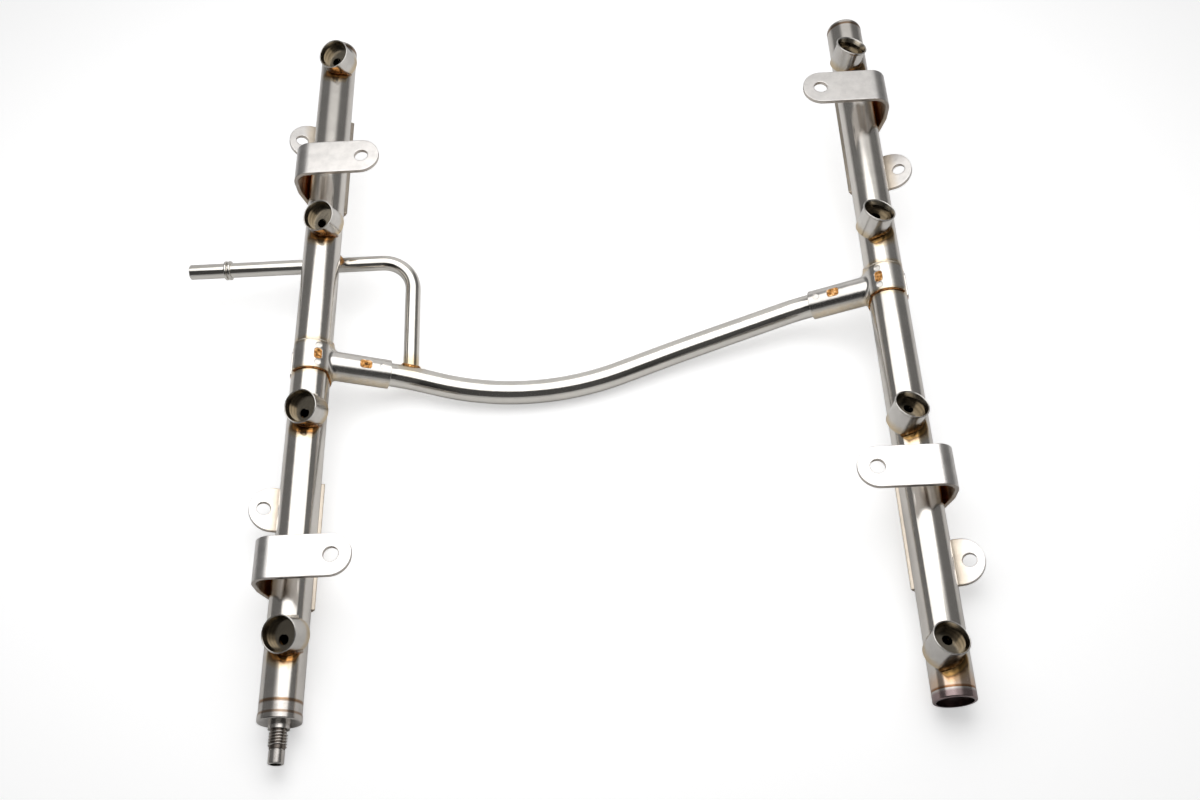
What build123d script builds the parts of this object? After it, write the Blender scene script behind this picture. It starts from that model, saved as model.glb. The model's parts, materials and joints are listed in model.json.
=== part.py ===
from build123d import *
from math import cos, radians, sin, sqrt, tan
import os

os.makedirs("parts", exist_ok=True)

# Fuel rail of a V8 engine, lying with its injector cups upward, in millimetres.
# Each rail is described in its own frame: x points inward to the other rail, y runs along the
# tube, z points up and the tube's axis is the y axis. The right rail is the left one turned
# by half a turn about the vertical.

# ---------------------------------------------------------------- driving dimensions
rail_span = 289.0            # between the axes of the two rail tubes
tube_od = 19.05              # rail tube
tube_wall = 1.25
tube_far_margin = 15.78      # left tube beyond the axis of its last cup
tube_near_margin = 25.94     # both tubes beyond the axis of their first cup

cup_pitch = 111.76           # between injectors, which is the cylinder bore spacing
cup_bank_shift = 7.08        # the middle of the four cups from the middle of the rail
cup_inset = 1.16             # mouth centre, inward from the tube's axis
cup_stand = 8.475            # mouth centre, above the tube's surface
cup_lean_out = 14.7          # degrees, outward
cup_lean_along = 13.9        # degrees, toward the first injector
cup_length = 13.5
cup_bore = 13.8
cup_bore_depth = 5.8
cup_wall = 1.04
cup_lead_in = 0.9            # the tapered mouth is this much wider all round
cup_lead_in_depth = 2.4
cup_lip = 0.51               # the lip stands out this much all round
cup_lip_height = 1.5
cup_feed_hole = 4.8
cup_feed_offset = (-0.7, -2.1)   # from the cup's axis, inward and along the rail

bracket_offset = 33.6        # strap centre, along the rail from the cup beside it
bracket_width = 20.0
bracket_thickness = 2.0
plate_clearance = 12.075     # between the tube and the bolt plate above it
plate_reach = 31.8           # tip of the bolt plate, inward from the tube's axis
plate_bend = 6.6             # inner radius where the plate turns down into the leg
leg_clearance = 2.0          # between the tube's side and the leg
leg_bend = 9.0               # inner radius where the leg turns in under the tube
bolt_hole = 7.0
bolt_hole_reach = 22.6
saddle_near = -15.0          # ends of the saddle, along the rail from the strap's centre
saddle_far = 48.0
saddle_inner_edge = -31.0    # degrees above the horizontal, on the inner side
saddle_outer_edge = -156.0
leg_root = -167.0            # where the leg leaves the saddle
ear_offset = 35.8            # ear centre, along the rail from the strap's centre
ear_tilt = 20.0              # degrees, rising outward
ear_radius = 11.0
ear_hole = 6.5
ear_hole_overhang = 8.315    # hole centre, outward from the tube's side
ear_round_overhang = 4.475   # centre of the ear's round end, likewise

fitting_offset = -14.6       # along the rail from its middle
sleeve_length = 15.5
sleeve_wall = 0.8
sleeve_gap = 40.0            # degrees left open, opposite the arm
sleeve_corner = 2.4
arm_wall = 1.32
arm_pitch = 23.0             # degrees, downward
arm_reach = 35.7             # end of the arm, inward from the tube's axis
arm_root = 3.4               # radius between the arm and the sleeve
arm_passage = 9.4
socket_depth = 17.0
sleeve_window = (4.0, 6.0)   # across and along the rail
sleeve_window_reach = 5.2
arm_window = (6.0, 4.6)      # along and across the arm
arm_window_reach = 23.7
window_corner = 1.4
stake_diameter = 3.2
stake_depth = 0.5
sleeve_stake_gap = 4.8       # each stake from the window's centre, along the rail
arm_stake_reach = 31.8

crossover_od = 12.0
crossover_wall = 1.2
crossover_drop = 22.6        # the level middle of the crossover tube below the rails
crossover_left_turn = 9.4    # first bend, inward of the left arm's end
crossover_right_turn = 7.8
crossover_dip = (-36.7, -32.6)
crossover_rise = (37.0, -5.2)
crossover_end_radius = 34.0
crossover_dip_radius = 147.0
crossover_rise_radius = 250.0

feed_od = 7.94
feed_wall = 1.0
feed_station = 53.3          # where the pipe passes under the left rail
feed_reach = 73.8            # tip of the pipe, outward from the left tube's axis
feed_corner_reach = 46.0     # corner of the pipe, inward from the left tube's axis
feed_corner_radius = 17.0
feed_end_sink = 0.33         # end of the pipe's axis below the corner of the crossover tube
tack_reach = 7.6             # the tack under the rail, inward from its axis
tack_size = 4.6
bead_height = 1.18
bead_length = 1.5
bead_gap = 0.5
bead_from_tip = 20.5

plug_margin = 18.48          # right tube beyond the axis of its last cup, to its plug
plug_flange = 4.2            # length of the plug outside the tube
plug_spigot = 6.0
plug_rim = 1.5
plug_recess = 3.3
cap_length = 3.6
cap_round = 2.6
port_band = 5.0
port_flange_rim = 0.28       # the flange stands out of the tube this much all round
port_flange = 3.0
port_neck_od = 9.4
port_neck = 2.8
port_thread_root = 7.0
port_thread_length = 8.4
port_groove_od = 6.0
port_groove = 0.7
port_tip_od = 7.0
port_tip = 5.6
port_bore = 4.6

braze_gap = 0.08             # between brazed pieces
braze_width = 1.0            # deposit beside a joint
braze_height = 0.7           # deposit above the tube's surface
edge_braze_width = 0.7       # the same along the edges of a fitting
edge_braze_height = 0.5
window_sink = 0.25           # the deposit in a window lies this much below its edge

# ---------------------------------------------------------------- sizes that follow
tube_radius = tube_od / 2
tube_bore = tube_radius - tube_wall
seat_radius = tube_radius + braze_gap
cup_stations = [cup_bank_shift + (k - 1.5) * cup_pitch for k in range(4)]
tube_near_end = cup_stations[0] - tube_near_margin
tube_far_end = cup_stations[3] + tube_far_margin
plug_end = cup_stations[3] + plug_margin
cup_mouth_height = tube_radius + cup_stand
cup_od = cup_bore + 2 * cup_wall
cup_lead_in_bore = cup_bore + 2 * cup_lead_in
cup_lip_od = cup_od + 2 * cup_lip
bracket_stations = [cup_stations[k] + bracket_offset for k in (0, 2)]
bracket_height = tube_radius + plate_clearance + bracket_thickness
ear_hole_reach = tube_radius + ear_hole_overhang
ear_round_reach = tube_radius + ear_round_overhang
sleeve_radius = seat_radius + sleeve_wall
arm_od = crossover_od + 2 * (braze_gap + arm_wall)
arm_length = arm_reach / cos(radians(arm_pitch))
arm_drop = arm_reach * tan(radians(arm_pitch))
feed_drop = tube_radius + feed_od / 2 + braze_gap
feed_end_drop = (arm_reach + crossover_left_turn) * tan(radians(arm_pitch)) + feed_end_sink
bead_od = feed_od + 2 * bead_height
port_flange_od = tube_od + 2 * port_flange_rim

# The frame's origin is under the middle of the object, on the level of its lowest point.
ear_tip_reach = (
    ear_round_reach + ear_radius * cos(radians(ear_tilt))
    + bracket_thickness * sin(radians(ear_tilt))
)
port_length = (
    port_band + port_flange + port_neck + port_thread_length + port_groove + port_tip
)
object_near = tube_near_end - port_length
object_far = tube_far_end + cap_length
base = Plane(
    origin=(
        (feed_reach - ear_tip_reach) / 2,
        -(object_near + object_far) / 2,
        crossover_drop + crossover_od / 2,
    )
)


def rail_frame(side):
    """Frame of a rail: side is -1 for the left one and 1 for the right one."""
    middle = base.from_local_coords((side * rail_span / 2, 0, 0))
    return Plane(origin=middle, x_dir=(-side, 0, 0), z_dir=(0, 0, 1))


def on(frame, plane):
    """The plane as it lies in the given frame."""
    return Plane(frame.location * plane.location)


def section(y):
    """Cross-section plane of a rail at y: its axes are the rail's x and z, its normal is -y."""
    return Plane.XZ.offset(-y)


def finish(piece, name):
    piece.part.label = name
    export_step(piece.part, f"parts/{name}.step")


def cup_axis(station):
    """Plane of a cup's mouth: z points out of the cup, x leans from vertical to inward."""
    out, along = radians(cup_lean_out), radians(cup_lean_along)
    axis = Vector(-sin(out) * cos(along), -sin(along), cos(out) * cos(along))
    return Plane(
        origin=(cup_inset, station, cup_mouth_height),
        x_dir=Vector(0, 1, 0).cross(axis),
        z_dir=axis,
    )


def feed_hole_plane(station):
    """Plane on a cup's floor, at the centre of its feed hole."""
    mouth = cup_axis(station)
    centre = mouth.from_local_coords((cup_feed_offset[0], cup_feed_offset[1], -cup_bore_depth))
    return Plane(origin=centre, x_dir=mouth.x_dir, z_dir=mouth.z_dir)


def arm_axis(distance):
    """Plane across a fitting's arm, at a distance from the tube's axis; z points to its end."""
    pitch = radians(arm_pitch)
    direction = Vector(cos(pitch), 0, -sin(pitch))
    return Plane(
        origin=Vector(0, fitting_offset, 0) + direction * distance,
        x_dir=(0, 1, 0),
        z_dir=direction,
    )


# ---------------------------------------------------------------- rail tubes
def make_tube(side, name, far_end):
    rail = rail_frame(side)
    with BuildPart() as tube:
        with BuildSketch(on(rail, section(far_end))):
            Circle(tube_radius)
            Circle(tube_bore, mode=Mode.SUBTRACT)
        extrude(amount=far_end - tube_near_end)
        for station in cup_stations:
            with BuildSketch(on(rail, feed_hole_plane(station))):
                Circle(cup_feed_hole / 2)
            extrude(amount=-tube_radius, mode=Mode.SUBTRACT)
        with BuildSketch(on(rail, arm_axis(0))):
            Circle(arm_passage / 2)
        extrude(amount=tube_od, mode=Mode.SUBTRACT)
    finish(tube, name)


# ---------------------------------------------------------------- injector cups
def cup_profile():
    """Half section of a cup: x is the radius and y is the height from the mouth."""
    rim = (cup_lip_od + cup_lead_in_bore) / 4
    with BuildLine() as outline:
        Polyline(
            (0, -cup_bore_depth),
            (cup_bore / 2, -cup_bore_depth),
            (cup_bore / 2, -cup_lead_in_depth),
            (cup_lead_in_bore / 2, -(rim - cup_lead_in_bore / 2)),
        )
        ThreePointArc(
            (cup_lead_in_bore / 2, -(rim - cup_lead_in_bore / 2)),
            (rim, 0),
            (cup_lip_od / 2, -(cup_lip_od / 2 - rim)),
        )
        Polyline(
            (cup_lip_od / 2, -(cup_lip_od / 2 - rim)),
            (cup_lip_od / 2, -cup_lip_height / 2),
            (cup_od / 2, -cup_lip_height),
            (cup_od / 2, -cup_length),
            (0, -cup_length),
            (0, -cup_bore_depth),
        )
    return outline


def make_cup(side, station, name):
    rail = rail_frame(side)
    mouth = cup_axis(station)
    half_plane = Plane(origin=mouth.origin, x_dir=mouth.x_dir, z_dir=-mouth.y_dir)
    lines = cup_profile()
    with BuildPart() as cup:
        with BuildSketch(on(rail, half_plane)):
            with BuildLine():
                add(lines.line)
            make_face()
        revolve(axis=Axis(on(rail, mouth).origin, on(rail, mouth).z_dir))
        with BuildSketch(on(rail, section(station + cup_length + cup_od))):
            Circle(seat_radius)
        extrude(amount=2 * (cup_length + cup_od), mode=Mode.SUBTRACT)
        with BuildSketch(on(rail, feed_hole_plane(station))):
            Circle(cup_feed_hole / 2)
        extrude(amount=-cup_length, mode=Mode.SUBTRACT)
    finish(cup, name)


def make_cup_braze(side, station, name):
    """Collar of brazing metal that lies on the tube round the foot of a cup."""
    rail = rail_frame(side)
    foot = cup_axis(station).offset(-cup_length)
    with BuildPart() as collar:
        with BuildSketch(on(rail, foot)):
            Circle(cup_od / 2 + braze_gap / 2 + braze_width)
            Circle(cup_od / 2 + braze_gap / 2, mode=Mode.SUBTRACT)
        extrude(amount=cup_length)
        with BuildSketch(on(rail, section(station + cup_od))):
            Circle(seat_radius + braze_height)
            Circle(seat_radius - braze_gap / 2, mode=Mode.SUBTRACT)
        extrude(amount=2 * cup_od, mode=Mode.INTERSECT)
    finish(collar, name)


# ---------------------------------------------------------------- brackets
def make_bracket(side, station, name):
    rail = rail_frame(side)
    half_width = bracket_width / 2
    middle_height = bracket_height - bracket_thickness / 2
    middle_radius = seat_radius + bracket_thickness / 2
    leg_x = -(tube_radius + leg_clearance + bracket_thickness / 2)
    root_x = middle_radius * cos(radians(leg_root))
    root_z = middle_radius * sin(radians(leg_root))
    with BuildPart() as bracket:
        # saddle under the tube
        with BuildSketch(on(rail, section(station + saddle_far))):
            with BuildLine():
                CenterArc((0, 0), middle_radius, saddle_outer_edge, saddle_inner_edge - saddle_outer_edge)
            trace(line_width=bracket_thickness)
        extrude(amount=saddle_far - saddle_near)
        # strap: from the saddle up the outer side and over the tube
        with BuildSketch(on(rail, section(station + half_width))):
            with BuildLine():
                CenterArc((0, 0), middle_radius, saddle_outer_edge, leg_root - saddle_outer_edge)
                FilletPolyline(
                    (root_x, root_z),
                    (leg_x, root_z - (leg_x - root_x) / tan(radians(leg_root))),
                    (leg_x, middle_height),
                    (plate_reach, middle_height),
                    radius=[leg_bend + bracket_thickness / 2, plate_bend + bracket_thickness / 2],
                )
            trace(line_width=bracket_thickness)
        extrude(amount=bracket_width)
        # ear: a flat that leaves the saddle on a tangent
        tilt = radians(ear_tilt)
        tangent = Vector(-seat_radius * sin(tilt), 0, -seat_radius * cos(tilt))
        ear_plane = Plane(
            origin=tangent + Vector(0, station + ear_offset, 0),
            x_dir=(-cos(tilt), 0, sin(tilt)),
            z_dir=(sin(tilt), 0, cos(tilt)),
        )
        flat = (ear_round_reach + tangent.X) / cos(tilt)
        hole = (ear_hole_reach + tangent.X) / cos(tilt)
        with BuildSketch(on(rail, ear_plane)):
            with Locations((flat / 2, 0)):
                Rectangle(flat, 2 * ear_radius)
            with Locations((flat, 0)):
                Circle(ear_radius)
        extrude(amount=-bracket_thickness)
        with BuildSketch(on(rail, section(station + saddle_far))):
            Circle(seat_radius)
        extrude(amount=saddle_far - saddle_near, mode=Mode.SUBTRACT)
        # holes
        plate = Plane(origin=(bolt_hole_reach, station, bracket_height))
        with BuildSketch(on(rail, plate)):
            Circle(bolt_hole / 2)
        extrude(amount=-2 * bracket_thickness, mode=Mode.SUBTRACT)
        with BuildSketch(on(rail, ear_plane)):
            with Locations((hole, 0)):
                Circle(ear_hole / 2)
        extrude(amount=-2 * bracket_thickness, mode=Mode.SUBTRACT)
        # round tip of the bolt plate
        tip = on(rail, Plane.XY).from_local_coords((plate_reach, station, middle_height))
        corners = bracket.edges().filter_by(Axis.Z).filter_by(
            lambda edge: abs(edge.length - bracket_thickness) < 0.01
            and (edge.center() - tip).length < half_width + 0.1
        )
        fillet(corners, radius=half_width * 0.98)
    finish(bracket, name)


# ---------------------------------------------------------------- crossover
def sleeve_window_plane():
    """Plane through the tube's axis whose z points out through the sleeve's window."""
    height = sqrt(sleeve_radius ** 2 - sleeve_window_reach ** 2)
    return Plane(
        origin=(0, fitting_offset, 0), x_dir=(0, 1, 0), z_dir=(sleeve_window_reach, 0, height)
    )


def arm_top_plane(reach):
    """Plane through the arm's axis, facing up from it; x runs along the arm."""
    across = arm_axis(reach / cos(radians(arm_pitch)))
    return Plane(origin=across.origin, x_dir=across.z_dir, z_dir=across.z_dir.cross(across.x_dir))


def sleeve_opening(reach):
    """Corners of the wedge that leaves the sleeve open opposite its arm."""
    middle, half = 180 - arm_pitch, sleeve_gap / 2
    edges = [radians(middle + turn) for turn in (-half, half)]
    return [(0, 0)] + [(reach * cos(edge), reach * sin(edge)) for edge in edges]


def make_fitting(side, name):
    rail = rail_frame(side)
    pad_radius = arm_od / 2 + arm_root
    pad = section(fitting_offset + pad_radius)
    # outline of the fitting seen along its arm: the sleeve, widened to a round pad at the arm
    with BuildPart() as outline:
        with BuildSketch(on(rail, section(fitting_offset + sleeve_length / 2))):
            Circle(2 * arm_length)
        extrude(amount=sleeve_length)
        with BuildSketch(on(rail, arm_axis(0))):
            Circle(pad_radius)
        extrude(amount=arm_length)
    with BuildPart() as fitting:
        with BuildSketch(on(rail, pad)):
            Circle(sleeve_radius)
        extrude(amount=2 * pad_radius)
        with BuildSketch(on(rail, arm_axis(0))):
            Circle(arm_od / 2)
        extrude(amount=arm_length)
        root = fitting.edges().filter_by(
            lambda edge: edge.geom_type not in (GeomType.CIRCLE, GeomType.LINE)
        )
        fillet(root, radius=arm_root * 0.96)
        add(outline.part, mode=Mode.INTERSECT)
        with BuildSketch(on(rail, pad)):
            Circle(seat_radius)
        extrude(amount=2 * pad_radius, mode=Mode.SUBTRACT)
        with BuildSketch(on(rail, pad)):
            Polygon(*sleeve_opening(3 * sleeve_radius), align=None)
        extrude(amount=2 * pad_radius, mode=Mode.SUBTRACT)
        corners = fitting.edges().filter_by(GeomType.LINE).filter_by(
            lambda edge: abs(edge.length - sleeve_wall) < 0.01
        )
        fillet(corners, radius=sleeve_corner)
        with BuildSketch(on(rail, arm_axis(0))):
            Circle(arm_passage / 2)
        extrude(amount=arm_length, mode=Mode.SUBTRACT)
        with BuildSketch(on(rail, arm_axis(arm_length - socket_depth))):
            Circle(crossover_od / 2 + braze_gap)
        extrude(amount=socket_depth, mode=Mode.SUBTRACT)
        # windows for the brazing metal
        with BuildSketch(on(rail, sleeve_window_plane())):
            RectangleRounded(sleeve_window[1], sleeve_window[0], window_corner)
        extrude(amount=2 * sleeve_radius, mode=Mode.SUBTRACT)
        with BuildSketch(on(rail, arm_top_plane(arm_window_reach))):
            RectangleRounded(*arm_window, window_corner)
        extrude(amount=arm_od, mode=Mode.SUBTRACT)
        # stakes that hold the fitting while it is brazed
        with BuildSketch(on(rail, sleeve_window_plane()).offset(sleeve_radius - stake_depth)):
            with Locations((sleeve_stake_gap, 0), (-sleeve_stake_gap, 0)):
                Circle(stake_diameter / 2)
        extrude(amount=sleeve_wall, mode=Mode.SUBTRACT)
        with BuildSketch(on(rail, arm_top_plane(arm_stake_reach)).offset(arm_od / 2 - stake_depth)):
            Circle(stake_diameter / 2)
        extrude(amount=stake_diameter, mode=Mode.SUBTRACT)
    finish(fitting, name)


def make_fitting_braze(side, name):
    """Brazing metal of a fitting: the fill of its two windows and the rings at its sleeve."""
    rail = rail_frame(side)
    clearance = braze_gap / 2
    with BuildPart() as fills:
        with BuildSketch(on(rail, sleeve_window_plane())):
            RectangleRounded(
                sleeve_window[1] - 2 * clearance, sleeve_window[0] - 2 * clearance, window_corner
            )
        extrude(amount=sleeve_radius - window_sink)
        with BuildSketch(on(rail, section(fitting_offset + sleeve_length))):
            Circle(tube_radius + clearance)
        extrude(amount=2 * sleeve_length, mode=Mode.SUBTRACT)
    with BuildPart() as arm_fill:
        with BuildSketch(on(rail, arm_top_plane(arm_window_reach))):
            RectangleRounded(
                arm_window[0] - 2 * clearance, arm_window[1] - 2 * clearance, window_corner
            )
        extrude(amount=arm_od / 2 - window_sink)
        with BuildSketch(on(rail, arm_axis(0))):
            Circle(crossover_od / 2 + clearance)
        extrude(amount=arm_length, mode=Mode.SUBTRACT)
    # lines of deposit on the tube along both edges of the fitting
    with BuildPart() as lines:
        for grow, mode in ((clearance + edge_braze_width, Mode.ADD), (clearance, Mode.SUBTRACT)):
            half_length = sleeve_length / 2 + grow
            with BuildSketch(on(rail, section(fitting_offset + half_length))):
                Circle(2 * sleeve_radius)
            extrude(amount=2 * half_length, mode=mode)
            with BuildSketch(on(rail, arm_axis(0))):
                Circle(arm_od / 2 + arm_root + grow)
            extrude(amount=2 * sleeve_radius, mode=mode)
        with BuildSketch(on(rail, section(fitting_offset + sleeve_length))):
            Circle(seat_radius + edge_braze_height)
            Circle(tube_radius + clearance, mode=Mode.SUBTRACT)
            Polygon(*sleeve_opening(3 * sleeve_radius), align=None, mode=Mode.SUBTRACT)
        extrude(amount=2 * sleeve_length, mode=Mode.INTERSECT)
    with BuildPart() as deposit:
        add(fills.part)
        add(arm_fill.part)
        add(lines.part)
    finish(deposit, name)


def crossover_route():
    """Corners of the crossover's centreline, in the frame of the object's base."""
    pitch = radians(arm_pitch)
    left_end = -rail_span / 2 + arm_reach
    right_end = rail_span / 2 - arm_reach
    inside = socket_depth - 0.3
    left_x = left_end + crossover_left_turn
    right_x = right_end - crossover_right_turn
    return [
        (left_end - inside * cos(pitch), fitting_offset, -arm_drop + inside * sin(pitch)),
        (left_x, fitting_offset, -arm_drop - crossover_left_turn * tan(pitch)),
        (crossover_dip[0], crossover_dip[1], -crossover_drop),
        (crossover_rise[0], crossover_rise[1], -crossover_drop),
        (right_x, -fitting_offset, -arm_drop - crossover_right_turn * tan(pitch)),
        (right_end + inside * cos(pitch), -fitting_offset, -arm_drop + inside * sin(pitch)),
    ]


def route_line(corners, radii):
    """Centreline of a bent tube: straight runs joined by tangent arcs."""
    points = [base.from_local_coords(corner) for corner in corners]
    with BuildLine() as route:
        FilletPolyline(*points, radius=radii)
    return route.line


def round_bar(route, radius):
    """Solid bar along a route, used to cut or to trim the pieces that meet a tube."""
    with BuildPart() as bar:
        with BuildSketch(Plane(origin=route @ 0, z_dir=route % 0)):
            Circle(radius)
        sweep(path=route)
    return bar.part


def make_bent_tube(route, outer, wall):
    with BuildPart() as tube:
        with BuildSketch(Plane(origin=route @ 0, z_dir=route % 0)):
            Circle(outer)
            Circle(outer - wall, mode=Mode.SUBTRACT)
        sweep(path=route)
    return tube


crossover_line = route_line(
    crossover_route(),
    [crossover_end_radius, crossover_dip_radius, crossover_rise_radius, crossover_end_radius],
)
feed_line = route_line(
    [
        (-rail_span / 2 - feed_reach, feed_station, -feed_drop),
        (-rail_span / 2 + feed_corner_reach, feed_station, -feed_drop),
        (-rail_span / 2 + feed_corner_reach, fitting_offset, -feed_end_drop),
    ],
    [feed_corner_radius],
)


def make_crossover():
    with BuildPart() as tube:
        add(make_bent_tube(crossover_line, crossover_od / 2, crossover_wall).part)
        add(round_bar(feed_line, feed_od / 2 - feed_wall), mode=Mode.SUBTRACT)
    finish(tube, "crossover_tube")


def make_feed_pipe():
    tip = feed_line @ 0
    with BuildPart() as pipe:
        add(make_bent_tube(feed_line, feed_od / 2, feed_wall).part)
        for start in (bead_from_tip - bead_length - bead_gap / 2, bead_from_tip + bead_gap / 2):
            with BuildSketch(Plane(origin=tip + Vector(start, 0, 0), z_dir=(1, 0, 0))):
                Circle(bead_od / 2)
                Circle(feed_od / 2 - feed_wall / 2, mode=Mode.SUBTRACT)
            extrude(amount=bead_length)
        bead_edges = pipe.edges().filter_by(GeomType.CIRCLE).filter_by(
            lambda edge: abs(edge.radius - bead_od / 2) < 0.01
        )
        fillet(bead_edges, radius=bead_length * 0.4)
        tip_edge = pipe.faces().sort_by(Axis.X)[0].edges().sort_by(SortBy.LENGTH)[-1]
        chamfer(tip_edge, length=feed_wall * 0.45)
        add(round_bar(crossover_line, crossover_od / 2 + braze_gap), mode=Mode.SUBTRACT)
    finish(pipe, "feed_pipe")


def make_feed_joint_braze():
    """Ring of brazing metal round the feed pipe where it enters the crossover tube."""
    with BuildPart() as ring:
        with BuildSketch(Plane(origin=feed_line @ 1, z_dir=-(feed_line % 1))):
            Circle(feed_od / 2 + braze_gap / 2 + braze_width)
            Circle(feed_od / 2 + braze_gap / 2, mode=Mode.SUBTRACT)
        extrude(amount=crossover_od + braze_width)
        add(
            round_bar(crossover_line, crossover_od / 2 + braze_width),
            mode=Mode.INTERSECT,
        )
        add(
            round_bar(crossover_line, crossover_od / 2 + braze_gap / 2),
            mode=Mode.SUBTRACT,
        )
    finish(ring, "feed_joint_braze")


def make_feed_tack():
    """Drop of brazing metal that holds the feed pipe under the left rail tube."""
    rail = rail_frame(-1)
    with BuildPart() as tack:
        with BuildSketch(on(rail, Plane.XY.offset(-feed_drop + feed_od / 2 - tack_size / 4))):
            with Locations((tack_reach, feed_station)):
                Circle(tack_size / 2)
        extrude(amount=tack_size, taper=12)
        with BuildSketch(on(rail, section(feed_station + tack_size))):
            Circle(tube_radius + braze_gap / 2)
        extrude(amount=2 * tack_size, mode=Mode.SUBTRACT)
        add(round_bar(feed_line, feed_od / 2 + braze_gap / 2), mode=Mode.SUBTRACT)
    finish(tack, "feed_pipe_tack")


# ---------------------------------------------------------------- end pieces
def make_end(side, end, outward, name, profile, rounding):
    """Turned piece at a tube's end; profile is (radius, distance beyond the end) in order."""
    rail = rail_frame(side)
    axis_plane = on(rail, Plane.XY)
    with BuildPart() as piece:
        with BuildSketch(axis_plane):
            with BuildLine():
                Polyline(*[(radius, end + outward * out) for radius, out in profile], close=True)
            make_face()
        revolve(axis=Axis(axis_plane.origin, axis_plane.y_dir))
        for radius, out, size in rounding:
            level = axis_plane.from_local_coords((0, end + outward * out, 0)).Y
            rims = piece.edges().filter_by(GeomType.CIRCLE).filter_by(
                lambda edge: abs(edge.radius - radius) < 0.01
                and abs(edge.center().Y - level) < 0.01
            )
            fillet(rims, radius=size)
    finish(piece, name)


spigot_radius = tube_bore - braze_gap
cap_profile = [
    (0, -plug_spigot),
    (spigot_radius, -plug_spigot),
    (spigot_radius, braze_gap),
    (tube_radius, braze_gap),
    (tube_radius, cap_length),
    (0, cap_length),
]
recess_radius = tube_radius - plug_rim
plug_profile = [
    (0, -plug_spigot),
    (spigot_radius, -plug_spigot),
    (spigot_radius, braze_gap),
    (tube_radius, braze_gap),
    (tube_radius, plug_flange),
    (recess_radius, plug_flange),
    (recess_radius, plug_flange - plug_recess),
    (0, plug_flange - plug_recess),
]
flange_start = port_band
neck_start = flange_start + port_flange
thread_start = neck_start + port_neck
groove_start = thread_start + port_thread_length
tip_start = groove_start + port_groove
port_profile = [
    (port_bore / 2, -plug_spigot),
    (spigot_radius, -plug_spigot),
    (spigot_radius, braze_gap),
    (tube_radius, braze_gap),
    (tube_radius, flange_start),
    (port_flange_od / 2, flange_start),
    (port_flange_od / 2, neck_start),
    (port_neck_od / 2, neck_start),
    (port_neck_od / 2, thread_start),
    (port_thread_root / 2, thread_start),
    (port_thread_root / 2, groove_start),
    (port_groove_od / 2, groove_start),
    (port_groove_od / 2, tip_start),
    (port_tip_od / 2, tip_start),
    (port_tip_od / 2, port_length),
    (port_bore / 2, port_length),
]

# ---------------------------------------------------------------- the whole object
for side, word in ((-1, "left"), (1, "right")):
    make_tube(side, f"{word}_rail_tube", tube_far_end if side < 0 else plug_end)
    for number, station in enumerate(cup_stations, start=1):
        make_cup(side, station, f"{word}_cup_{number}")
        make_cup_braze(side, station, f"{word}_cup_braze_{number}")
    for number, station in enumerate(bracket_stations, start=1):
        make_bracket(side, station, f"{word}_bracket_{number}")
    make_fitting(side, f"{word}_crossover_fitting")
    make_fitting_braze(side, f"{word}_fitting_braze")

make_crossover()
make_feed_pipe()
make_feed_joint_braze()
make_feed_tack()

cap_rounding = [(tube_radius, cap_length, cap_round)]
make_end(-1, tube_far_end, 1, "left_far_end_cap", cap_profile, cap_rounding)
make_end(1, tube_near_end, -1, "right_far_end_cap", cap_profile, cap_rounding)
make_end(1, plug_end, 1, "right_near_end_plug", plug_profile, [(tube_radius, plug_flange, 0.6)])
make_end(
    -1, tube_near_end, -1, "left_service_port", port_profile,
    [(port_flange_od / 2, neck_start, 0.6), (port_tip_od / 2, port_length, 0.5)],
)
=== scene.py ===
import json
import math

import bmesh
import bpy
from mathutils import Matrix, Vector


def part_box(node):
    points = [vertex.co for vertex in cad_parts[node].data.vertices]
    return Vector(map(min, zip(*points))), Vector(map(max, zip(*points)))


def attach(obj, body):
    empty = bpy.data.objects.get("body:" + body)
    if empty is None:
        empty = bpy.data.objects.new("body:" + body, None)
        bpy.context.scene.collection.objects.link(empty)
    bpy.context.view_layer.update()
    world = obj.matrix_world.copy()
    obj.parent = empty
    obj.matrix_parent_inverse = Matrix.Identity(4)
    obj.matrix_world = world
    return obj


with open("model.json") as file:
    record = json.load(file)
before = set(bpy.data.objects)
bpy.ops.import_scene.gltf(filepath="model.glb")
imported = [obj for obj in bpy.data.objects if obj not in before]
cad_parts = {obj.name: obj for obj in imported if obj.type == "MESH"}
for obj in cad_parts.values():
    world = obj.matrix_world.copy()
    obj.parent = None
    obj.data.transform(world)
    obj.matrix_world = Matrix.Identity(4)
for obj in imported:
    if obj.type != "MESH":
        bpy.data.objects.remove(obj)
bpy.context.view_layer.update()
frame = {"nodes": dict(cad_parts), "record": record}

bl_info = {
    "name": "Fuel Rail",
    "version": (1, 0, 0),
    "blender": (4, 5, 0),
    "location": "3D View > Sidebar > Fuel Rail",
    "description": "Finishes, port thread and stage of a brazed stainless fuel rail",
    "category": "Object",
}

BODY = "root"
NODES = frame["nodes"]


def named(*words):
    """The frame's nodes whose names hold one of the words."""
    names = sorted(name for name in NODES if any(word in name for word in words))
    if not names:
        raise RuntimeError(f"the frame has no node named after {' or '.join(words)}")
    return names


# ---------------------------------------------------------------- places, in metres
LEFT_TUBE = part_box("left_rail_tube")
RIGHT_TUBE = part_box("right_rail_tube")
LEFT_X = (LEFT_TUBE[0].x + LEFT_TUBE[1].x) / 2
RIGHT_X = (RIGHT_TUBE[0].x + RIGHT_TUBE[1].x) / 2
HALF_SPAN = (RIGHT_X - LEFT_X) / 2
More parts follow.
